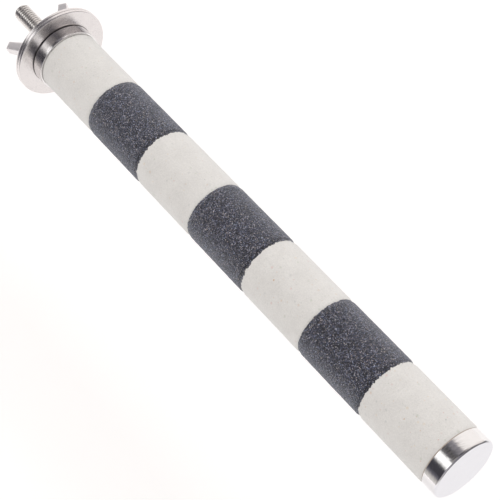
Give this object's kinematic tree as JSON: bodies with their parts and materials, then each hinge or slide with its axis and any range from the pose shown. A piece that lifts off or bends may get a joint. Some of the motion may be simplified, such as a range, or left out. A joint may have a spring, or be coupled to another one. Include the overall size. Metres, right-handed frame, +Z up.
{
  "type": "bird perch",
  "caption": "Straight round bird perch with bands of mineral grit and steel caps, clamped to the wires of a cage by a stud, large washers and a wing nut.",
  "frame": {"origin": "on the perch's axis, in the plane where the two washers meet and the cage wires are pinched", "axes": "+X along the perch to its free end, +Z up, +Y completes the right-handed frame"},
  "size_m": [0.2266, 0.0334, 0.0334],
  "materials": {
    "wood": "bare",
    "white_grit": "matte, fine-grained",
    "dark_grit": "matte, abrasive, with glinting grains",
    "steel": "polished"
  },
  "bodies": {
    "perch": {"dowel_core": "wood", "white_band_1": "white_grit", "dark_band_1": "dark_grit", "white_band_2": "white_grit", "dark_band_2": "dark_grit", "white_band_3": "white_grit", "dark_band_3": "dark_grit", "white_band_4": "white_grit", "end_cap": "steel", "base_cap": "steel", "hanger_bolt": "steel", "front_washer": "steel"},
    "rear_washer": {"rear_washer": "steel"},
    "wing_nut": {"wing_nut": "steel"}
  },
  "joints": [
    {"name": "rear_washer_slide", "type": "slide", "parent": "perch", "child": "rear_washer", "axis": [-1, 0, 0], "range_m": [0, 0.01376]},
    {"name": "wing_nut_turn", "type": "hinge", "parent": "rear_washer", "child": "wing_nut", "pos_m": [-0.0012, 0, 0], "axis": [-1, 0, 0], "range_deg": [0, 4950]}
  ],
  "couplings": [
    {"joint": "rear_washer_slide", "follows": "wing_nut_turn", "m_per_rad": 0.00015915}
  ]
}
